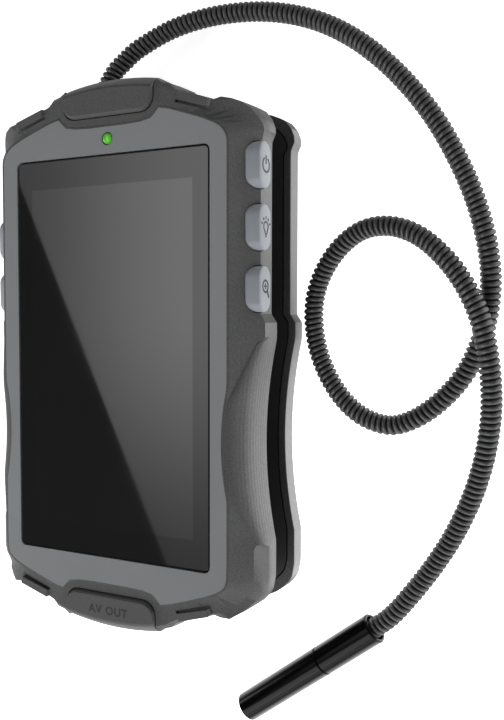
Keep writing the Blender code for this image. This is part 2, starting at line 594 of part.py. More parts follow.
def build_rear(mat):
    hub = mirrored(HUB_HALF)
    rim = mirrored(RIM_HALF)
    liner = rear_liner()
    plate = offset(thinned(liner, 0.25), -GAP)
    case = prism("rear_case", plate, GROOVE_BACK, REBATE_T, mat["case"])
    back = offset(thinned(liner, 0.25), -GAP - REBATE)
    cut_with(case, prism("case_back", back, GROOVE_BACK + 1, HEIGHT - 0.4, mat["cutter"]), "UNION")
    cut_with(case, prism("hub_wall", hub, FRONT_HALF_BACK + GAP, GROOVE_BACK + 1, mat["cutter"]), "UNION")
    cut_with(case, prism("cut_hub", offset(hub, -2.0), 10, 28.0, mat["cutter"]))
    for k, (x, y) in enumerate(SCREW_AT):
        cut_with(case, prism(f"boss_{k}", circle(x, y, 3.8, 24), FRONT_HALF_BACK + GAP, 28.4, mat["cutter"]), "UNION")
        cut_with(case, prism(f"cut_screw_{k}", circle(x, y, 1.65, 20), 10, 24, mat["cutter"]))
        cut_with(case, prism(f"cut_head_{k}", circle(x, y, 3.0, 24), 22.0, 35, mat["cutter"]))
        turned(f"case_screw_{k + 1}", (x, y, 24.0), (0, 0, -1), [(0, 2.4), (0.3, 2.65), (1.7, 2.65), (1.7, 1.3), (12.8, 1.3)], mat["steel"], 20)
    cut_with(case, box("cut_battery_way", -29.6, 29.6, -51.2, 3.2, 26, 35, mat["cutter"]))
    cut_with(case, box("cut_door_seat", -31.2, 31.2, DOOR_AXIS_Y - DOOR_R - GAP, 5.2, 28.8, 35, mat["cutter"]))
    mouth = Vector(GLAND_MOUTH)
    along = Vector(GLAND_DIR).normalized()
    cut_with(case, turned("cut_gland", mouth - along * 18, along, [(0, 4.4 + GAP), (22, 4.4 + GAP)], mat["cutter"], 24))

    # Rear bumper, around the flange.
    inner = offset(rim, -0.8)
    lap = offset(liner, -REBATE)
    ring_loft("rear_bumper", [[
        (*rim[i], GROOVE_BACK), (*rim[i], RIM_BACK), (*inner[i], HEIGHT), (*lap[i], HEIGHT), (*lap[i], REBATE_T + GAP),
        (*liner[i], REBATE_T + GAP), (*liner[i], GROOVE_BACK),
    ] for i in range(len(rim))], mat["rubber"])

    # Battery door, with a round hinge edge on its axis.
    section = []
    for i in range(9):
        a = math.radians(90 + 180 * i / 8)
        section.append((DOOR_AXIS_Y + DOOR_R * math.cos(a), DOOR_AXIS_T + DOOR_R * math.sin(a)))
    section += [(4.9, DOOR_AXIS_T - DOOR_R), (4.9, DOOR_AXIS_T + DOOR_R)]
    door = stack("battery_door", [[(x, y, t) for y, t in section] for x in (-30.9, 30.9)], mat["case"], (0, DOOR_AXIS_Y, DOOR_AXIS_T))
    cut_with(door, box("cut_nail", -6, 6, 2.6, 3.8, DOOR_AXIS_T + 0.2, 35, mat["cutter"]))

    for k in range(4):
        x = (k - 1.5) * CELL_PITCH
        end = 1 if k % 2 == 0 else -1
        start = CELL_Y0 if end > 0 else CELL_Y0 + CELL_LENGTH
        turned(f"battery_{k + 1}", (x, start, CELL_T), (0, end, 0),
               [(0, 6.6), (0.4, CELL_R), (48.6, CELL_R), (49.0, 6.6), (49.0, 2.7), (CELL_LENGTH, 2.7)], mat["battery"], 28)
    for name, y in (("battery_contact_top", CELL_Y0 + CELL_LENGTH + GAP), ("battery_contact_bottom", CELL_Y0 - GAP - 0.5)):
        box(name, -28.6, 28.6, y, y + 0.5, 15.5, 26.0, mat["steel"])


def build_neck(mat):
    mouth = Vector(GLAND_MOUTH)
    along = Vector(GLAND_DIR).normalized()
    turned("cable_gland", mouth - along * GLAND_LENGTH, along,
           [(0, 4.4), (6.6, 4.4), (7.4, 4.1), (GLAND_LENGTH - 0.4, 3.7), (GLAND_LENGTH, 3.4)], mat["dark_plastic"], 28)
    rear, u, length = head_frame()
    start = mouth + along * GAP
    route = [Vector((start.x, start.y, HEIGHT - start.z))]
    route += [Vector(p) for p in ROUTE]
    rear_up = Vector((rear.x, rear.y, HEIGHT - rear.z))
    route += [rear_up, rear_up + Vector((u.x, u.y, 0)) * NECK_INTO_HEAD]
    points, run = spline(route, 6.0)
    curve = bpy.data.curves.new("gooseneck", "CURVE")
    curve.dimensions = "3D"
    curve.bevel_depth = NECK_R * MM
    curve.bevel_resolution = 3
    curve.use_fill_caps = True
    curve.resolution_u = 1
    curve.render_resolution_u = 0
    line = curve.splines.new("POLY")
    line.points.add(len(points) - 1)
    for slot, p in zip(line.points, points):
        slot.co = (p.x * MM, p.y * MM, p.z * MM, 1.0)
    curve.materials.append(mat["neck"])
    neck = bpy.data.objects.new("gooseneck", curve)
    bpy.context.scene.collection.objects.link(neck)

    # Camera head: a rear sleeve, a barrel, and the camera in the barrel's mouth.
    turned("head_sleeve", rear, u, [
        (0.0, HEAD_R - 0.35), (0.35, HEAD_R), (HEAD_SEAM - 0.15, HEAD_R), (HEAD_SEAM, HEAD_R - 0.15),
        (HEAD_SEAM, 1.6), (HEAD_BORE, 1.6), (HEAD_BORE, HEAD_BORE_R), (0.5, HEAD_BORE_R), (0.0, HEAD_BORE_R + 0.3),
    ], mat["head"], 40, hollow=True)
    front = HEAD_SEAM + GAP
    turned("head_barrel", rear, u, [
        (front, HEAD_R - 0.15), (front + 0.15, HEAD_R), (length - 0.35, HEAD_R), (length, HEAD_R - 0.35),
        (length, 3.5), (length - 9.0, 3.5), (length - 9.0, 1.6), (front, 1.6),
    ], mat["head"], 40, hollow=True)
    turned("head_window", rear + u * (length - 1.1), u, [(0, 3.2), (0.8, 3.2)], mat["window"], 40)
    turned("lens_module", rear + u * (length - 8.6), u, [(0, 1.75), (6.0, 1.75), (6.0, 1.45), (7.1, 1.2)], mat["dark_plastic"], 28)
    ring = turned("led_ring", rear, u, [(length - 3.2, 3.2), (length - 2.2, 3.2), (length - 2.2, 2.1), (length - 3.2, 2.1)], mat["board"], 32, hollow=True)
    side, up = Vector((-u.y, u.x, 0)), Vector((0, 0, 1))
    for k in range(6):
        a = math.radians(60 * k)
        spot = rear + u * (length - 2.6) + (side * math.cos(a) + up * math.sin(a)) * 2.65
        cut_with(ring, turned(f"led_chip_{k}", spot, u, [(0, 0.42), (0.85, 0.42)], mat["cutter"], 10), "UNION")


def main():
    clear_scene()
    mat = {
        "bezel": material("grey_plastic", (0.155, 0.165, 0.175), 0.42),
        "rubber": material("charcoal_rubber", (0.07, 0.07, 0.07), 0.62),
        "dark_plastic": material("black_plastic", (0.02, 0.02, 0.021), 0.5),
        "case": material("case_plastic", (0.035, 0.035, 0.037), 0.5),
        "window": material("smoked_glass", (0.03, 0.03, 0.032), 0.05, transmission=0.6, coat=0.5),
        "lcd": material("lcd_glass", (0.03, 0.03, 0.032), 0.25),
        "led": material("green_lens", (0.12, 0.55, 0.04), 0.2),
        "button": material("light_grey_plastic", (0.36, 0.38, 0.41), 0.45),
        "board": material("circuit_board", (0.02, 0.12, 0.05), 0.5),
        "steel": material("steel", (0.5, 0.5, 0.5), 0.35, metallic=1.0),
        "battery": material("battery_sleeve", (0.08, 0.1, 0.14), 0.35),
        "neck": material("gooseneck_plastic", (0.03, 0.03, 0.03), 0.45),
        "head": material("dark_chrome", (0.09, 0.09, 0.095), 0.12, metallic=1.0),
        "cutter": material("cutter", (1, 0, 0), 0.5),
    }
    build_front(mat)
    build_overmould(mat)
    build_buttons(mat)
    build_covers(mat)
    build_front_case(mat)
    build_rear(mat)
    build_neck(mat)


main()
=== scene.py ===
import math

import bmesh
import bpy
from mathutils import Matrix, Vector


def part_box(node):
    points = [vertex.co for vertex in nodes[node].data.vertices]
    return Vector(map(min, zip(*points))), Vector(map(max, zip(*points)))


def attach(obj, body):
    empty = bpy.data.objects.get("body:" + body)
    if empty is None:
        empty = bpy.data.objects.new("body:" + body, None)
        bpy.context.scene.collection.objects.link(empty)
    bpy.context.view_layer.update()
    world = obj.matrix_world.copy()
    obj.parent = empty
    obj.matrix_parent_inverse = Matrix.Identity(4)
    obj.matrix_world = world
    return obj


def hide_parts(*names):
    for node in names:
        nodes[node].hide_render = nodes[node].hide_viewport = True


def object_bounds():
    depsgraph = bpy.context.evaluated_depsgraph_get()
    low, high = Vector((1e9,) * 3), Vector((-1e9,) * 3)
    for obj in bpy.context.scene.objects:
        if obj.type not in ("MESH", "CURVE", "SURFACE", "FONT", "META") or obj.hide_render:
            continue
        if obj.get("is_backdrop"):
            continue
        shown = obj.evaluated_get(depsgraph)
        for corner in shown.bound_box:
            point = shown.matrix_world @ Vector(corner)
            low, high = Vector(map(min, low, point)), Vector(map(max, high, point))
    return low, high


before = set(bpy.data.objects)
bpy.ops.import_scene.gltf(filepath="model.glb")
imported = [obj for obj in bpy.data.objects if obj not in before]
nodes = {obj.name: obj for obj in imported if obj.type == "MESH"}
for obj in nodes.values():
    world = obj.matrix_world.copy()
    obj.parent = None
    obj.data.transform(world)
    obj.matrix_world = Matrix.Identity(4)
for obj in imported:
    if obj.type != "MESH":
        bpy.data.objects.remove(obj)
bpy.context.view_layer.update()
scene = bpy.context.scene
scene.view_settings.view_transform = "Standard"
scene.view_settings.look = "None"
MM = 0.001
HEIGHT = 30.6


# ---------------------------------------------------------------- camera
RIGHT = Vector((0.88812, 0.00175, -0.45961)).normalized()
BACK = Vector((0.45900, 0.04841, 0.88712)).normalized()
UP = BACK.cross(RIGHT).normalized()
RIGHT = UP.cross(BACK).normalized()
EYE = Vector((0.143731, 0.011031, 0.22229))
FOCAL = 858.29  # in pixels of a 504 x 720 picture

camera_data = bpy.data.cameras.new("camera")
camera_data.sensor_width = 36.0
camera_data.lens = FOCAL * 36.0 / 720.0
camera_data.clip_start, camera_data.clip_end = 0.01, 50.0
camera = bpy.data.objects.new("camera", camera_data)
scene.collection.objects.link(camera)
camera.matrix_world = Matrix((
    (RIGHT.x, UP.x, BACK.x, EYE.x),
    (RIGHT.y, UP.y, BACK.y, EYE.y),
    (RIGHT.z, UP.z, BACK.z, EYE.z),
    (0, 0, 0, 1),
))
scene.camera = camera


# ---------------------------------------------------------------- mesh helpers
def new_object(name, mesh, mat=None):
    obj = bpy.data.objects.new(name, mesh)
    scene.collection.objects.link(obj)
    if mat is not None:
        mesh.materials.append(mat)
    return obj


def mesh_of(name, verts, faces, mat=None, smooth=True):
    """An object from points in millimetres of the row frame."""
    mesh = bpy.data.meshes.new(name)
    mesh.from_pydata([(x * MM, y * MM, z * MM) for x, y, z in verts], [], faces)
    bm = bmesh.new()
    bm.from_mesh(mesh)
    bmesh.ops.recalc_face_normals(bm, faces=bm.faces)
    bm.to_mesh(mesh)
    bm.free()
    for p in mesh.polygons:
        p.use_smooth = smooth
    return new_object(name, mesh, mat)


def loft(rings, cap=True):
    """(verts, faces) of rings of equal length joined one to the next."""
    n = len(rings[0])
    verts = [p for ring in rings for p in ring]
    faces = []
    for k in range(len(rings) - 1):
        for i in range(n):
            j = (i + 1) % n
            faces.append((k * n + i, k * n + j, (k + 1) * n + j, (k + 1) * n + i))
    if cap:
        faces.append(tuple(reversed(range(n))))
        faces.append(tuple((len(rings) - 1) * n + i for i in range(n)))
    return verts, faces


def rounded(hx, hy, r, n=6):
    out = []
    for cx, cy, a0 in ((hx - r, hy - r, 0), (-hx + r, hy - r, 90), (-hx + r, -hy + r, 180), (hx - r, -hy + r, 270)):
        for i in range(n + 1):
            a = math.radians(a0 + 90 * i / n)
            out.append((cx + r * math.cos(a), cy + r * math.sin(a)))
    return out


# ---------------------------------------------------------------- materials
class Look:
    """A node material with one Principled shader and small helpers."""

    def __init__(self, name, base, rough, metallic=0.0, ior=1.5, coat=0.0, coat_rough=0.05, specular=0.5, sheen=0.0):
        self.mat = bpy.data.materials.new(name)
        self.mat.use_nodes = True
        self.tree = self.mat.node_tree
        self.shader = self.tree.nodes["Principled BSDF"]
        s = self.shader.inputs
        s["Base Color"].default_value = (*base, 1)
        s["Roughness"].default_value = rough
        s["Metallic"].default_value = metallic
        s["IOR"].default_value = ior
        s["Coat Weight"].default_value = coat
        s["Coat Roughness"].default_value = coat_rough
        s["Specular IOR Level"].default_value = specular
        s["Sheen Weight"].default_value = sheen
        self.base, self.rough = base, rough
        self.coords = self.add("ShaderNodeTexCoord").outputs["Object"]
        self.height = None
        self.mat.diffuse_color = (*base, 1)

    def add(self, kind, **values):
        node = self.tree.nodes.new(kind)
        for key, value in values.items():
            setattr(node, key, value)
        return node

    def link(self, a, b):
        self.tree.links.new(a, b)

    def noise(self, scale, detail=3.0, rough=0.55, stretch=None, distortion=0.0):
        node = self.add("ShaderNodeTexNoise")
        node.inputs["Scale"].default_value = scale
        node.inputs["Detail"].default_value = detail
        node.inputs["Roughness"].default_value = rough
        node.inputs["Distortion"].default_value = distortion
        source = self.coords
        if stretch:
            mapping = self.add("ShaderNodeMapping")
            mapping.inputs["Scale"].default_value = stretch
            self.link(self.coords, mapping.inputs["Vector"])
            source = mapping.outputs["Vector"]
        self.link(source, node.inputs["Vector"])
        return node.outputs["Fac"]

    def voronoi(self, scale):
        node = self.add("ShaderNodeTexVoronoi")
        node.inputs["Scale"].default_value = scale
        self.link(self.coords, node.inputs["Vector"])
        return node.outputs["Distance"]

    def math(self, op, a, b=None, clamp=False):
        node = self.add("ShaderNodeMath", operation=op, use_clamp=clamp)
        for k, v in enumerate((a, b)):
            if v is None:
                continue
            if isinstance(v, (int, float)):
                node.inputs[k].default_value = v
            else:
                self.link(v, node.inputs[k])
        return node.outputs[0]

    def ramp(self, value, low, high, out_low, out_high):
        node = self.add("ShaderNodeMapRange")
        node.inputs["From Min"].default_value = low
        node.inputs["From Max"].default_value = high
        node.inputs["To Min"].default_value = out_low
        node.inputs["To Max"].default_value = out_high
        self.link(value, node.inputs["Value"])
        return node.outputs["Result"]

    def axis(self, name):
        node = self.add("ShaderNodeSeparateXYZ")
        self.link(self.coords, node.inputs[0])
        return node.outputs[name]

    def bump(self, value, strength, distance):
        """distance in metres."""
        node = self.add("ShaderNodeBump")
        node.inputs["Strength"].default_value = strength
        node.inputs["Distance"].default_value = distance
        self.link(value, node.inputs["Height"])
        if self.height is not None:
            self.link(self.height, node.inputs["Normal"])
        self.height = node.outputs["Normal"]
        self.link(self.height, self.shader.inputs["Normal"])

    def tint(self, value, low, high, shade_low, shade_high):
        """Base colour that runs between two shades of itself as value runs from low to high."""
        node = self.add("ShaderNodeMix", data_type="RGBA")
        fac = self.ramp(value, low, high, 0.0, 1.0)
        self.link(fac, node.inputs[0])
        node.inputs[6].default_value = (*[c * shade_low for c in self.base], 1)
        node.inputs[7].default_value = (*[c * shade_high for c in self.base], 1)
        self.link(node.outputs[2], self.shader.inputs["Base Color"])
        self.colour = node.outputs[2]
        return node.outputs[2]

    def tint_more(self, value, low, high, shade_low, shade_high):
        """Scales the base colour that is linked already."""
        fac = self.ramp(value, low, high, shade_low, shade_high)
        node = self.add("ShaderNodeVectorMath", operation="SCALE")
        self.link(self.colour, node.inputs[0])
        self.link(fac, node.inputs["Scale"])
        self.link(node.outputs[0], self.shader.inputs["Base Color"])
        self.colour = node.outputs[0]

    def gloss(self, value, low, high, rough_low, rough_high):
        self.link(self.ramp(value, low, high, rough_low, rough_high), self.shader.inputs["Roughness"])


def rubber_look(name, base, rough=0.66, painted_side_light=1.75, low=0.90, high=0.985):
    """Moulded rubber: a fine even grain on the faces, and a smoother finish on the side bands, whose colour is also
    lifted there as painted light.
    """
    look = Look(name, base, rough, specular=0.32)
    fine = look.noise(2600, 2.0, 0.6)
    coarse = look.noise(60, 3.0)
    look.tint(fine, 0.35, 0.68, 0.80, 1.22)
    look.tint_more(coarse, 0.3, 0.7, 0.95, 1.05)
    normal = look.add("ShaderNodeSeparateXYZ")
    look.link(look.add("ShaderNodeNewGeometry").outputs["Normal"], normal.inputs[0])
    # Faces that look along ±X get a lighter colour as painted light, standing for the brighter light on the sides; the
    # same mask also makes them smoother.
    side_polish_and_light = look.ramp(look.math("ABSOLUTE", normal.outputs["X"]), low, high, 0.0, 1.0)
    look.tint_more(side_polish_and_light, 0.0, 1.0, 1.0, painted_side_light)
    grainy = look.ramp(fine, 0.3, 0.7, rough - 0.05, rough + 0.08)
    look.link(look.math("SUBTRACT", grainy, look.math("MULTIPLY", side_polish_and_light, BAND_POLISH)), look.shader.inputs["Roughness"])
    look.bump(look.math("MULTIPLY", fine, look.ramp(side_polish_and_light, 0.0, 1.0, 1.0, 0.35)), 0.35, 0.00012)
    return look


BAND_POLISH = 0.26


def plastic_look(name, base, rough=0.45, grain=0.1, specular=0.5):
    look = Look(name, base, rough, specular=specular)
    fine = look.noise(3400, 2.0, 0.6)
    coarse = look.noise(45, 3.0)
    look.tint(fine, 0.35, 0.68, 0.955, 1.045)
    look.tint_more(coarse, 0.3, 0.7, 0.975, 1.025)
    look.gloss(coarse, 0.3, 0.7, rough - 0.03, rough + 0.05)
    look.bump(fine, grain, 0.00006)
    return look


RUBBER = (0.086, 0.086, 0.087)
rubber = rubber_look("charcoal_rubber", RUBBER)
# The rear bumper's faces that look along ±X get a stronger painted light, so its sides read brighter.
rear_rubber = rubber_look("rear_rubber", RUBBER, painted_side_light=2.9, low=0.80, high=0.93)

# The front rubber has fine lines along the grips.
grip = rubber_look("grip_rubber", RUBBER)
along_y = grip.axis("Y")
span = grip.math("MULTIPLY", grip.ramp(along_y, -0.049, -0.043, 0.0, 1.0), grip.ramp(along_y, 0.0055, 0.001, 0.0, 1.0), True)
depth = grip.axis("Z")
rows = grip.math("SINE", grip.math("MULTIPLY", depth, 2 * math.pi / 0.0011))
out = grip.math("ABSOLUTE", grip.axis("X"))
side = grip.ramp(out, 0.0385, 0.0400, 0.0, 1.0)
grip.bump(grip.math("MULTIPLY", grip.math("MULTIPLY", rows, span), side), 0.14, 0.00014)

bezel = plastic_look("grey_plastic", (0.205, 0.214, 0.223), 0.42, 0.12)
button = plastic_look("light_grey_plastic", (0.315, 0.34, 0.37), 0.5, 0.06, 0.35)
black = plastic_look("black_plastic", (0.013, 0.013, 0.0145), 0.5, 0.12, 0.3)
case = plastic_look("case_plastic", (0.042, 0.042, 0.045), 0.55, 0.2, 0.3)
board = plastic_look("circuit_board", (0.012, 0.075, 0.03), 0.4, 0.1)

steel = Look("steel", (0.55, 0.55, 0.55), 0.3, metallic=1.0)
brushed = steel.noise(500, 3.0, 0.5, (1, 14, 14))
steel.tint(brushed, 0.3, 0.7, 0.85, 1.1)
steel.gloss(brushed, 0.3, 0.7, 0.24, 0.4)
steel.bump(brushed, 0.15, 0.00004)

sleeve = Look("battery_sleeve", (0.03, 0.045, 0.09), 0.25)
wrinkle = sleeve.noise(90, 3.0)
sleeve.tint(wrinkle, 0.3, 0.7, 0.9, 1.1)
sleeve.gloss(wrinkle, 0.3, 0.7, 0.2, 0.32)
sleeve.bump(wrinkle, 0.1, 0.00008)

lcd = Look("lcd_glass", (0.006, 0.006, 0.0065), 0.12)
smear = lcd.noise(70, 2.0)
lcd.tint(smear, 0.3, 0.7, 0.9, 1.1)
lcd.gloss(smear, 0.3, 0.7, 0.1, 0.16)

print_zone = Look("glass_over_print", (0.0125, 0.0125, 0.013), 0.03, ior=1.60)
smear = print_zone.noise(26, 3.0)
print_zone.tint(smear, 0.3, 0.7, 0.92, 1.08)
print_zone.gloss(smear, 0.3, 0.75, 0.020, 0.038)

active_zone = Look("glass_over_picture", (0.0125, 0.0125, 0.013), 0.03, ior=1.74)
smear = active_zone.noise(26, 3.0)
active_zone.tint(smear, 0.3, 0.7, 0.92, 1.08)
active_zone.gloss(smear, 0.3, 0.75, 0.025, 0.045)

led = Look("green_lens", (0.10, 0.52, 0.02), 0.22, coat=0.6)
cloud = led.noise(900, 2.0)
led.tint(cloud, 0.3, 0.7, 0.9, 1.1)
led.gloss(cloud, 0.3, 0.7, 0.18, 0.28)
led.shader.inputs["Emission Color"].default_value = (0.10, 0.60, 0.02, 1)
led.shader.inputs["Emission Strength"].default_value = 0.12

neck = Look("gooseneck_skin", (0.115, 0.115, 0.118), 0.40, metallic=0.5, specular=0.3)
neck.shader.inputs["Specular Tint"].default_value = (0.10, 0.10, 0.10, 1)
fleck = neck.noise(1400, 2.0)
neck.tint(fleck, 0.3, 0.7, 0.85, 1.15)
# The grooves between the ribs are darkened as painted shade, and the crests made a little lighter.
neck.tint_more(neck.add("ShaderNodeAttribute", attribute_name="groove").outputs["Fac"], 0.35, 0.95, 1.1, 0.16)
neck.gloss(fleck, 0.3, 0.7, 0.33, 0.44)
neck.bump(fleck, 0.1, 0.00005)

chrome = Look("dark_chrome", (0.0045, 0.0045, 0.0047), 0.22, metallic=1.0, coat=0.18, coat_rough=0.12)
swirl = chrome.noise(700, 2.0, 0.5, (1, 1, 1))
chrome.tint(swirl, 0.3, 0.7, 0.94, 1.06)
chrome.gloss(swirl, 0.3, 0.7, 0.21, 0.24)
chrome.bump(swirl, 0.03, 0.00001)

lens_glass = Look("lens_glass", (0.01, 0.01, 0.012), 0.05, coat=0.5)
tint = lens_glass.noise(300, 2.0)
lens_glass.tint(tint, 0.3, 0.7, 0.8, 1.2)
lens_glass.gloss(tint, 0.3, 0.7, 0.04, 0.07)

ink = plastic_look("dark_ink", (0.028, 0.029, 0.032), 0.5, 0.05)
cover_ink = plastic_look("pale_shadow_ink", (0.004, 0.004, 0.0045), 0.6, 0.05)

looks = {
    "front_bezel": bezel, "front_overmould": grip, "rear_bumper": rear_rubber, "video_port_cover": rubber, "card_port_cover": rubber,
    "power_button": button, "light_button": button, "zoom_button": button, "rotate_button": button, "mirror_button": button,
    "lcd_panel": lcd, "status_led": led, "front_case": black, "right_switch_board": board, "left_switch_board": board,
    "power_switch": black, "light_switch": black, "zoom_switch": black, "rotate_switch": black, "mirror_switch": black,
    "video_socket": black, "card_socket": steel, "main_board": board, "rear_case": case, "battery_door": case,
    "battery_1": sleeve, "battery_2": sleeve, "battery_3": sleeve, "battery_4": sleeve,
    "battery_contact_top": steel, "battery_contact_bottom": steel,
    "case_screw_1": steel, "case_screw_2": steel, "case_screw_3": steel, "case_screw_4": steel,
    "cable_gland": black, "head_sleeve": chrome, "head_barrel": chrome, "head_window": lens_glass,
    "lens_module": black, "led_ring": board, "display_window": print_zone, "gooseneck": neck,
}
for name, look in looks.items():
    data = nodes[name].data
    data.materials.clear()
    data.materials.append(look.mat)


def smooth_by_angle(degrees):
    """A node group that shades smooth, apart from edges sharper than an angle."""
    group = bpy.data.node_groups.new(f"smooth_{degrees:.0f}", "GeometryNodeTree")
    group.interface.new_socket("Geometry", in_out="INPUT", socket_type="NodeSocketGeometry")
    group.interface.new_socket("Geometry", in_out="OUTPUT", socket_type="NodeSocketGeometry")
    source, end = group.nodes.new("NodeGroupInput"), group.nodes.new("NodeGroupOutput")
    faces, edges = group.nodes.new("GeometryNodeSetShadeSmooth"), group.nodes.new("GeometryNodeSetShadeSmooth")
    edges.domain = "EDGE"
    angle, compare = group.nodes.new("GeometryNodeInputMeshEdgeAngle"), group.nodes.new("ShaderNodeMath")
    compare.operation = "LESS_THAN"
    compare.inputs[1].default_value = math.radians(degrees)
    group.links.new(source.outputs[0], faces.inputs["Geometry"])
    group.links.new(faces.outputs[0], edges.inputs["Geometry"])
    group.links.new(angle.outputs["Unsigned Angle"], compare.inputs[0])
    group.links.new(compare.outputs[0], edges.inputs["Shade Smooth"])
    group.links.new(edges.outputs[0], end.inputs[0])
    return group


GROUPS = {}


def facets(name, width, angle):
    """Rounded edges where faces meet sharply, and everything else shaded as one curve."""
    obj = nodes[name]
    weld = obj.modifiers.new("weld", "WELD")
    weld.merge_threshold = 2e-6
    if angle not in GROUPS:
        GROUPS[angle] = smooth_by_angle(angle)
    shade = obj.modifiers.new("shade", "NODES")
    shade.node_group = GROUPS[angle]
    bevel = obj.modifiers.new("bevel", "BEVEL")
    bevel.width = width * MM
    bevel.segments = 2
    bevel.limit_method = "ANGLE"
    bevel.angle_limit = math.radians(angle)
    bevel.use_clamp_overlap = True
    bevel.harden_normals = True


def soften(name, width, angle=17.0, segments=2):
    """Small rounded edges on a CAD node, with facets kept flat and curves kept smooth."""
    obj = nodes[name]
    weld = obj.modifiers.new("weld", "WELD")
    weld.merge_threshold = 2e-6
    limit = 50.0 if width else angle
    if limit not in GROUPS:
        GROUPS[limit] = smooth_by_angle(limit)
    if width:
        bevel = obj.modifiers.new("bevel", "BEVEL")
        bevel.width = width * MM
        bevel.segments = segments
        bevel.limit_method = "ANGLE"
        bevel.angle_limit = math.radians(angle)
        bevel.miter_outer = "MITER_ARC"
        bevel.use_clamp_overlap = True
    shade = obj.modifiers.new("shade", "NODES")
    shade.node_group = GROUPS[limit]
    if width:
        weighted = obj.modifiers.new("weighted", "WEIGHTED_NORMAL")
        weighted.keep_sharp = True
        weighted.weight = 80


for name in ("rear_bumper", "video_port_cover", "card_port_cover", "battery_door"):
    soften(name, 0.25)
facets("front_overmould", 0.12, 26.0)
soften("front_bezel", 0.16, 40.0)
soften("rear_case", 0.0)
for name in ("power_button", "light_button", "zoom_button", "rotate_button", "mirror_button"):
    soften(name, 0.0, 32.0)
for name in ("head_sleeve", "head_barrel", "cable_gland", "status_led", "case_screw_1", "case_screw_2", "case_screw_3", "case_screw_4",
             "battery_1", "battery_2", "battery_3", "battery_4", "lens_module", "led_ring", "head_window"):
    soften(name, 0.0, 32.0)


# ---------------------------------------------------------------- gooseneck
ROUTE = (
    (-12.5, 83.3, 10.8), (-8.5, 87.1, 10.1), (-3.9, 90.4, 9.3), (6.0, 94.9, 7.4), (17.1, 97.2, 5.6),
    (28.8, 97.4, 4.0), (39.8, 95.6, 3.2), (50.5, 91.8, 2.9), (60.4, 86.0, 2.9), (69.0, 78.9, 2.9),
    (76.4, 71.0, 2.9), (82.7, 62.6, 2.9), (87.8, 53.8, 2.9), (92.0, 44.9, 2.9), (95.2, 35.7, 2.9),
    (97.2, 26.3, 2.9), (97.6, 17.5, 2.9), (96.4, 9.0, 2.9), (93.6, 1.0, 2.9), (89.6, -5.6, 2.9), (84.3, -11.2, 2.9),
    (78.6, -15.2, 2.9), (72.7, -17.3, 2.9), (67.0, -16.6, 2.9), (61.6, -13.9, 2.9), (57.0, -9.4, 2.9),
    (53.4, -3.8, 2.9), (50.9, 2.4, 2.9), (49.7, 8.6, 2.9), (49.6, 14.6, 2.9), (50.8, 20.0, 3.1),
    (53.4, 25.2, 3.5), (57.4, 30.0, 4.2), (62.4, 33.6, 5.0), (67.4, 35.1, 5.9), (72.8, 35.0, 6.7),
    (78.0, 33.4, 7.5), (82.4, 30.8, 8.1), (86.2, 27.5, 8.6), (90.0, 23.2, 9.0), (93.6, 17.6, 9.2),
    (96.4, 11.2, 9.2), (98.2, 4.0, 9.1), (99.2, -4.0, 8.6), (99.2, -12.0, 7.6), (98.1, -20.2, 6.4),
    (96.2, -28.0, 5.2), (93.4, -36.0, 4.1), (89.0, -45.4, 3.2), (83.6, -54.4, 3.0), (78.4, -61.8, 3.5),
    (73.3, -68.2, 4.1),
)
GLAND_MOUTH = Vector((-18.3, 74.2, 19.3))
GLAND_DIR = Vector((0.50, 0.866, 0.02)).normalized()
HEAD_REAR = Vector((68.5, -72.4, 4.25))
HEAD_TIP = Vector((29.8, -102.4, 4.25))
HEAD_AXIS = (HEAD_TIP - HEAD_REAR).normalized()


def smooth_line(points, spacing):
    padded = [points[0] * 2 - points[1]] + points + [points[-1] * 2 - points[-2]]
    fine = []
    for i in range(1, len(padded) - 2):
        p0, p1, p2, p3 = padded[i - 1:i + 3]
        for k in range(24):
            s = k / 24
            fine.append(0.5 * (2 * p1 + (p2 - p0) * s + (2 * p0 - 5 * p1 + 4 * p2 - p3) * s ** 2
                               + (3 * p1 - p0 - 3 * p2 + p3) * s ** 3))
    fine.append(points[-1])
    run = [0.0]
    for a, b in zip(fine, fine[1:]):
        run.append(run[-1] + (b - a).length)
    count = max(2, round(run[-1] / spacing))
    out, k = [], 0
    for i in range(count + 1):
        want = run[-1] * i / count
        while k < len(run) - 2 and run[k + 1] < want:
            k += 1
        s = (want - run[k]) / (run[k + 1] - run[k])
        out.append(fine[k].lerp(fine[k + 1], min(1.0, max(0.0, s))))
    return out, run[-1]


start = GLAND_MOUTH + GLAND_DIR * 0.3
route = [Vector((start.x, start.y, HEIGHT - start.z))] + [Vector(p) for p in ROUTE]
route += [HEAD_REAR, HEAD_REAR + HEAD_AXIS * 6.2]
line, neck_length = smooth_line(route, 0.5)


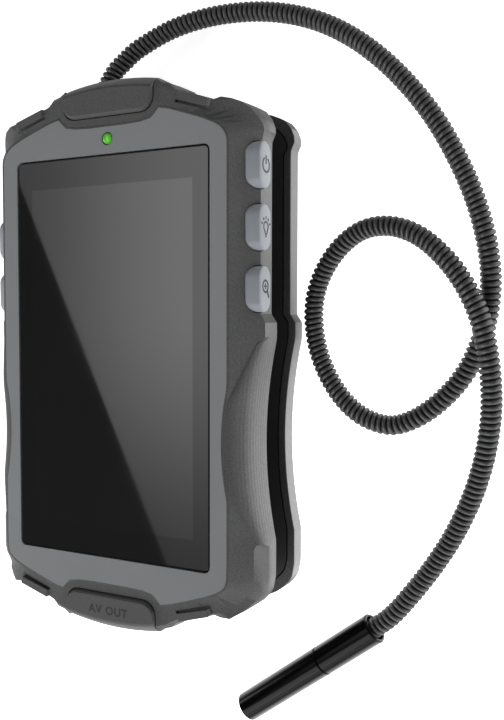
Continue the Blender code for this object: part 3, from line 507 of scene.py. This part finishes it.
def ribbed_tube(name, line, radius, depth, pitch, mat, around=20, rows=8):
    """A tube with one helical rib, whose groove runs along rows of the mesh."""
    step = (line[1] - line[0]).length
    total = step * (len(line) - 1)
    tangents = []
    for i in range(len(line)):
        a, b = line[max(0, i - 1)], line[min(len(line) - 1, i + 1)]
        tangents.append((b - a).normalized())
    side = tangents[0].cross(Vector((0, 0, 1))).normalized()
    sides = [side]
    for t in tangents[1:]:
        side = (side - t * side.dot(t)).normalized()
        sides.append(side)

    def at(s):
        s = min(total - 1e-6, max(0.0, s))
        k = min(len(line) - 2, int(s / step))
        f = s / step - k
        t = tangents[k].lerp(tangents[k + 1], f).normalized()
        u = sides[k].lerp(sides[k + 1], f)
        u = (u - t * u.dot(t)).normalized()
        return line[k].lerp(line[k + 1], f), u, t.cross(u)

    turns = math.ceil(total / pitch) + 1
    count = turns * rows
    verts, faces, depths = [], [], []
    for k in range(-rows, count + 1):
        for j in range(around):
            s = (k / rows + j / around) * pitch
            clipped = min(total, max(0.0, s))
            c, u, v = at(clipped)
            w = abs(((k / rows) % 1.0) * 2 - 1)  # 0 at the crest, 1 in the groove
            r = radius - depth * (1 - math.sqrt(max(0.0, 1 - 0.98 * w * w))) / (1 - math.sqrt(0.02))
            depths.append(w)
            a = 2 * math.pi * j / around
            p = c + (u * math.cos(a) + v * math.sin(a)) * r
            verts.append((p.x, p.y, p.z))
    lines = count + 1 + rows
    for k in range(lines - 1):
        for j in range(around):
            a, b = k * around + j, k * around + j + 1
            if j == around - 1:
                if k + rows + 1 >= lines:
                    continue
                b = (k + rows) * around
            faces.append((a, b, b + around, a + around))
    mesh = bpy.data.meshes.new(name)
    mesh.from_pydata([(x * MM, y * MM, z * MM) for x, y, z in verts], [], faces)
    # The groove value, 0 on the crest and 1 in the groove, drives the painted shade in the gooseneck's grooves.
    mesh.attributes.new("groove", "FLOAT", "POINT").data.foreach_set("value", depths)
    bm = bmesh.new()
    bm.from_mesh(mesh)
    bmesh.ops.remove_doubles(bm, verts=bm.verts, dist=2e-6)
    bmesh.ops.delete(bm, geom=[f for f in bm.faces if f.calc_area() < 1e-13], context="FACES_ONLY")
    bmesh.ops.delete(bm, geom=[v for v in bm.verts if not v.link_faces], context="VERTS")
    bmesh.ops.holes_fill(bm, edges=[e for e in bm.edges if e.is_boundary], sides=0)
    bmesh.ops.triangulate(bm, faces=[f for f in bm.faces if len(f.verts) > 4])
    bmesh.ops.recalc_face_normals(bm, faces=bm.faces)
    bm.to_mesh(mesh)
    bm.free()
    for p in mesh.polygons:
        p.use_smooth = True
    return new_object(name, mesh, mat)


tube = ribbed_tube("ribbed_gooseneck", line, 2.75, 0.80, 1.56, neck.mat, 22, 12)
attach(tube, "unit")
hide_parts("gooseneck")


# ---------------------------------------------------------------- display glass
def display_glass():
    """The window's plate: a narrow chamfer all round, and two fields, over the print and over the picture."""
    top, bottom, chamfer = HEIGHT - 0.25, HEIGHT - 1.55, 0.35
    hx, hy, r = 63.9 / 2, 111.15 / 2, 1.5
    pic_x, pic_y, pic_r = 53.86 / 2, 95.04 / 2, 0.25
    levels = [
        (rounded(pic_x, pic_y, pic_r), top), (rounded(hx - chamfer, hy - chamfer, r - chamfer), top),
        (rounded(hx - 0.08, hy - 0.08, r - 0.08), top - 0.2), (rounded(hx, hy, r), top - 0.4), (rounded(hx, hy, r), bottom),
    ]
    rings = [[(x, y, z) for x, y in outline] for outline, z in levels]
    verts, faces = loft(rings)
    plate = mesh_of("glass_plate", verts, faces, print_zone.mat, smooth=False)
    plate.data.materials.append(active_zone.mat)
    flat = top * MM - 1e-7
    for p in plate.data.polygons:
        if p.center.z > flat and all(abs(plate.data.vertices[i].co.x) < (pic_x + 0.01) * MM for i in p.vertices):
            p.material_index = 1
    return plate


plate = display_glass()
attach(plate, "unit")
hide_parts("display_window")


# ---------------------------------------------------------------- rubber lip round the bezel
def outer_loop(name, z):
    """The outline of a node's flat face at that height, in millimetres, in order."""
    bm = bmesh.new()
    bm.from_mesh(nodes[name].data)
    bmesh.ops.remove_doubles(bm, verts=bm.verts, dist=2e-6)
    near = {}
    for e in bm.edges:
        if all(abs(v.co.z / MM - z) < 0.01 for v in e.verts):
            flat = [abs(f.normal.z) > 0.999 and abs(f.calc_center_median().z / MM - z) < 0.01 for f in e.link_faces]
            if len(flat) == 2 and sum(flat) == 1:
                a, b = e.verts
                near.setdefault(a.index, []).append(b.index)
                near.setdefault(b.index, []).append(a.index)
    bm.verts.ensure_lookup_table()
    loops, seen = [], set()
    for first in sorted(near):
        if first in seen:
            continue
        loop, at, before = [], first, None
        while at not in seen:
            seen.add(at)
            loop.append(at)
            onward = [k for k in near[at] if k != before and k not in seen]
            before = at
            if not onward:
                break
            at = onward[0]
        loops.append([(bm.verts[i].co.x / MM, bm.verts[i].co.y / MM) for i in loop])
    bm.free()
    return max(loops, key=lambda l: max(p[0] for p in l) - min(p[0] for p in l))


def grown(outline, distance):
    """The outline moved outwards."""
    area = sum(a[0] * b[1] - b[0] * a[1] for a, b in zip(outline, outline[1:] + outline[:1]))
    if area < 0:
        outline = outline[::-1]
    out, n = [], len(outline)
    for i, p in enumerate(outline):
        a, b = outline[i - 1], outline[(i + 1) % n]
        d1, d2 = Vector((p[0] - a[0], p[1] - a[1])).normalized(), Vector((b[0] - p[0], b[1] - p[1])).normalized()
        m = Vector((d1.y + d2.y, -d1.x - d2.x))
        m.normalize()
        k = distance / max(0.6, m.dot(Vector((d1.y, -d1.x))))
        out.append((p[0] + m.x * k, p[1] + m.y * k))
    return out


edge_line = outer_loop("front_bezel", HEIGHT)
rings = [[(x, y, HEIGHT - t) for x, y in grown(edge_line, d)] for d, t in ((-0.16, 1.2), (-0.16, 0.02), (-0.08, 0.003), (0.58, 0.003), (0.74, 0.16), (0.74, 1.2), (-0.16, 1.2))]
verts, faces = loft(rings, cap=False)
lip = mesh_of("bezel_lip", verts, faces, rubber.mat)
bm = bmesh.new()
bm.from_mesh(lip.data)
bmesh.ops.remove_doubles(bm, verts=bm.verts, dist=1e-7)
bmesh.ops.recalc_face_normals(bm, faces=bm.faces)
bm.to_mesh(lip.data)
bm.free()
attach(lip, "unit")


# ---------------------------------------------------------------- pictograms
def stroke(points, width, closed=False):
    """The outline quads of a line of some width, in its own plane."""
    n = len(points)
    left, right = [], []
    for i, p in enumerate(points):
        a = points[i - 1] if closed or i > 0 else p
        b = points[(i + 1) % n] if closed or i < n - 1 else p
        d1 = Vector((p[0] - a[0], p[1] - a[1]))
        d2 = Vector((b[0] - p[0], b[1] - p[1]))
        if d1.length < 1e-9:
            d1 = d2
        if d2.length < 1e-9:
            d2 = d1
        m = (d1.normalized() + d2.normalized()).normalized()
        normal = Vector((-m.y, m.x))
        scale = 1 / max(0.4, normal.dot(Vector((-d2.normalized().y, d2.normalized().x))))
        left.append((p[0] + normal.x * width / 2 * scale, p[1] + normal.y * width / 2 * scale))
        right.append((p[0] - normal.x * width / 2 * scale, p[1] - normal.y * width / 2 * scale))
    quads = []
    for i in range(n if closed else n - 1):
        j = (i + 1) % n
        quads.append((left[i], left[j], right[j], right[i]))
    return quads


def arc(cx, cy, r, a0, a1, n=20):
    return [(cx + r * math.cos(math.radians(a0 + (a1 - a0) * i / n)), cy + r * math.sin(math.radians(a0 + (a1 - a0) * i / n))) for i in range(n + 1)]


def pictogram(name, body, strokes, origin, across, up, out, mat, thick=0.06, sink=0.05):
    """Thin raised strokes on a face. Each stroke is a line (points, width, closed)."""
    bm = bmesh.new()
    for points, width, closed in strokes:
        strip = bmesh.new()
        for quad in stroke(points, width, closed):
            low = [strip.verts.new((origin + across * a + up * b - out * sink) * MM) for a, b in quad]
            high = [strip.verts.new((origin + across * a + up * b + out * thick) * MM) for a, b in quad]
            strip.faces.new(low[::-1])
            strip.faces.new(high)
            for i in range(4):
                j = (i + 1) % 4
                strip.faces.new((low[i], low[j], high[j], high[i]))
        bmesh.ops.remove_doubles(strip, verts=strip.verts, dist=1e-7)
        walls = {}
        for f in strip.faces:
            walls.setdefault(frozenset(f.verts), []).append(f)
        bmesh.ops.delete(strip, geom=[f for same in walls.values() if len(same) > 1 for f in same], context="FACES")
        bmesh.ops.recalc_face_normals(strip, faces=strip.faces)
        part = bpy.data.meshes.new("part")
        strip.to_mesh(part)
        strip.free()
        bm.from_mesh(part)
        bpy.data.meshes.remove(part)
    mesh = bpy.data.meshes.new(name)
    bm.to_mesh(mesh)
    bm.free()
    obj = new_object(name, mesh, mat)
    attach(obj, body)
    return obj


W = 0.56
power = [(arc(0, -0.1, 1.85, 120, 420, 26), W, False), ([(0, 0.1), (0, 2.3)], W, False)]
light = [([(0.50, -1.55)] + arc(0, 0.05, 1.25, -48, 228, 20) + [(-0.50, -1.55)], W * 0.85, False),
         ([(-0.62, -1.8), (0.62, -1.8)], W * 0.8, False), ([(-0.38, -2.4), (0.38, -2.4)], W * 0.8, False)]
for a in (-70, -35, 0, 35, 70):
    s, c = math.sin(math.radians(a)), math.cos(math.radians(a))
    light.append(([(1.95 * s, 0.05 + 1.95 * c), (2.65 * s, 0.05 + 2.65 * c)], W * 0.9, False))
zoom = [(arc(-0.2, 0.7, 1.5, 0, 345, 24), W, True), ([(0.75, -0.5), (1.75, -2.2)], W * 1.3, False),
        ([(-0.95, 0.7), (0.55, 0.7)], W * 0.8, False), ([(-0.2, -0.05), (-0.2, 1.45)], W * 0.8, False)]
rotate = [(arc(0, 0, 1.8, 60, 350, 24), W, False), ([(0.2, 1.05), (0.95, 1.65), (0.5, 2.5)], W, False)]
mirror = [([(0, -2.2), (0, 2.2)], W * 0.8, False), ([(-0.6, -1.3), (-2.0, -1.3), (-0.6, 1.3)], W, True),
          ([(0.6, -1.3), (2.0, -1.3), (0.6, 1.3)], W, True)]
for name, strokes, side in (("power", power, 1), ("light", light, 1), ("zoom", zoom, 1), ("rotate", rotate, -1), ("mirror", mirror, -1)):
    low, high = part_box(f"{name}_button")
    x = (high.x if side > 0 else low.x) / MM
    centre = Vector((x, (low.y + high.y) / 2 / MM, (low.z + high.z) / 2 / MM))
    icon = pictogram(f"{name}_icon", f"{name}_button", strokes, centre, Vector((0, 0, -side)), Vector((0, 1, 0)), Vector((side, 0, 0)), ink.mat)


def label(name, text, size, centre, body, mat):
    """Raised letters on a face that looks up, read along +X."""
    data = bpy.data.curves.new(name, "FONT")
    data.body, data.size, data.align_x, data.align_y = text, size * MM, "CENTER", "CENTER"
    data.extrude, data.offset, data.resolution_u = 0.05 * MM, 0.11 * MM, 3
    data.space_character = 1.12
    source = bpy.data.objects.new(name, data)
    source.location = Vector(centre) * MM
    scene.collection.objects.link(source)
    bpy.context.view_layer.update()
    mesh = bpy.data.meshes.new_from_object(source.evaluated_get(bpy.context.evaluated_depsgraph_get()))
    mesh.transform(source.matrix_world)
    bpy.data.objects.remove(source)
    obj = new_object(name, mesh)
    mesh.materials.clear()
    mesh.materials.append(mat)
    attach(obj, body)
    return obj


mark = label("port_mark", "AV OUT", 3.3, (0.0, -70.5, HEIGHT + 0.96), "video_port_cover", cover_ink.mat)


# ---------------------------------------------------------------- stage
# The floor glows as a light: its emission lights the object from below, stronger towards +X and −Y and weaker far to
# the north, and it fills the shadows on the floor.
FLOOR_LOW, FLOOR_HIGH = 0.78, 2.1
floor_look = Look("pale_floor", (0.86, 0.86, 0.86), 0.9, specular=0.0)
floor_look.shader.inputs["Emission Color"].default_value = (1, 1, 1, 1)
slant = floor_look.add("ShaderNodeVectorMath", operation="DOT_PRODUCT")
slant.inputs[1].default_value = (0.90, -0.43, 0.0)
floor_look.link(floor_look.coords, slant.inputs[0])
level = floor_look.ramp(slant.outputs["Value"], -0.03, 0.07, FLOOR_LOW, FLOOR_HIGH)
far = floor_look.ramp(floor_look.axis("Y"), 0.15, 0.40, 1.0, 0.35)
floor_look.link(floor_look.math("MULTIPLY", level, far), floor_look.shader.inputs["Emission Strength"])
mesh = bpy.data.meshes.new("floor")
mesh.from_pydata([(-6, -6, -0.0003), (6, -6, -0.0003), (6, 6, -0.0003), (-6, 6, -0.0003)], [], [(0, 1, 2, 3)])
floor = new_object("floor", mesh, floor_look.mat)
floor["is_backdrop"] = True


def through(px, py, z):
    """The row-frame point, in metres, that a pixel of the picture shows at that height."""
    ray = -BACK + RIGHT * ((px - 252) / FOCAL) - UP * ((py - 360) / FOCAL)
    return EYE + ray * ((z - EYE.z) / ray.z)


def area_light(name, place, aim, size, size_y, radiance, colour=(1, 1, 1)):
    data = bpy.data.lights.new(name, "AREA")
    data.shape = "RECTANGLE"
    data.size, data.size_y = size, size_y
    data.energy = radiance * math.pi * size * size_y
    data.color = colour
    light = bpy.data.objects.new(name, data)
    scene.collection.objects.link(light)
    light.location = place
    light.rotation_mode = "QUATERNION"
    light.rotation_quaternion = (Vector(aim) - Vector(place)).to_track_quat("-Z", "Y")
    return light


# A tall card whose edge crosses the glass as a slanting reflection.
GLASS_Z = (HEIGHT - 0.25) * MM
mirrored_eye = Vector((EYE.x, EYE.y, 2 * GLASS_Z - EYE.z))
edge_a, edge_b = through(19, 183, GLASS_Z), through(166, 563, GLASS_Z)
edge = (edge_b - edge_a).normalized()
across = Vector((-edge.y, edge.x, 0))
if across.x < 0:
    across = -across
LIFT = 5.6
corners = [edge_a - edge * 0.05, edge_b + edge * 0.05, edge_b + edge * 0.05 + across * 0.085, edge_a - edge * 0.05 + across * 0.105]
card_verts = [mirrored_eye + (p - mirrored_eye) * LIFT for p in corners]
mesh = bpy.data.meshes.new("card")
mesh.from_pydata([tuple(v) for v in card_verts], [], [(0, 1, 2, 3)])
card_mat = bpy.data.materials.new("card_glow")
card_mat.use_nodes = True
tree = card_mat.node_tree
for n in list(tree.nodes):
    tree.nodes.remove(n)
output = tree.nodes.new("ShaderNodeOutputMaterial")
glow = tree.nodes.new("ShaderNodeEmission")
coords = tree.nodes.new("ShaderNodeTexCoord")
split = tree.nodes.new("ShaderNodeSeparateXYZ")
tree.links.new(coords.outputs["Object"], split.inputs[0])


def on_card(px, py):
    return mirrored_eye + (through(px, py, GLASS_Z) - mirrored_eye) * LIFT


def fade(axis, start, end, low, high):
    node = tree.nodes.new("ShaderNodeMapRange")
    node.interpolation_type = "SMOOTHSTEP"
    for key, value in (("From Min", start), ("From Max", end), ("To Min", low), ("To Max", high)):
        node.inputs[key].default_value = value
    tree.links.new(split.outputs[axis], node.inputs["Value"])
    return node.outputs["Result"]


product = tree.nodes.new("ShaderNodeMath")
product.operation = "MULTIPLY"
tree.links.new(fade("X", on_card(20, 250).x, on_card(215, 250).x, 0.70, 2.0), product.inputs[0])
tree.links.new(fade("Y", on_card(190, 590).y, on_card(190, 290).y, 0.22, 1.0), product.inputs[1])
tree.links.new(product.outputs[0], glow.inputs["Strength"])
tree.links.new(glow.outputs[0], output.inputs[0])
card = new_object("light_card", mesh, card_mat)
card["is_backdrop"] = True

area_light("over_box", (-0.30, -0.95, 1.15), (0.03, 0, 0.01), 0.9, 0.7, 3.6)
area_light("near_box", (0.10, -1.1, 0.60), (0.0, 0, 0.01), 1.0, 0.5, 2.0)
area_light("left_box", (-1.0, -0.25, 0.35), (0.0, 0, 0.01), 0.9, 0.40, 4.5)

world = bpy.data.worlds.new("studio")
scene.world = world
world.use_nodes = True
tree = world.node_tree
for n in list(tree.nodes):
    tree.nodes.remove(n)
output = tree.nodes.new("ShaderNodeOutputWorld")
background = tree.nodes.new("ShaderNodeBackground")
coords = tree.nodes.new("ShaderNodeTexCoord")
split = tree.nodes.new("ShaderNodeSeparateXYZ")
ramp = tree.nodes.new("ShaderNodeValToRGB")
ramp.color_ramp.elements[0].position = 0.0
ramp.color_ramp.elements[0].color = (0.90, 0.90, 0.90, 1)
ramp.color_ramp.elements[1].position = 0.60
ramp.color_ramp.elements[1].color = (0.07, 0.07, 0.07, 1)
middle = ramp.color_ramp.elements.new(0.30)
middle.color = (0.55, 0.55, 0.55, 1)
toward = tree.nodes.new("ShaderNodeVectorMath")
toward.operation = "DOT_PRODUCT"
toward.inputs[1].default_value = (0.80, -0.60, 0.0)
share = tree.nodes.new("ShaderNodeMapRange")
share.inputs["From Min"].default_value = -0.9
share.inputs["From Max"].default_value = 0.9
share.inputs["To Min"].default_value = 0.10
share.inputs["To Max"].default_value = 1.5
tree.links.new(coords.outputs["Generated"], toward.inputs[0])
tree.links.new(toward.outputs["Value"], share.inputs["Value"])
tree.links.new(coords.outputs["Generated"], split.inputs[0])
tree.links.new(split.outputs["Z"], ramp.inputs["Fac"])
tree.links.new(ramp.outputs["Color"], background.inputs["Color"])
tree.links.new(share.outputs["Result"], background.inputs["Strength"])
tree.links.new(background.outputs[0], output.inputs[0])

low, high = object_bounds()
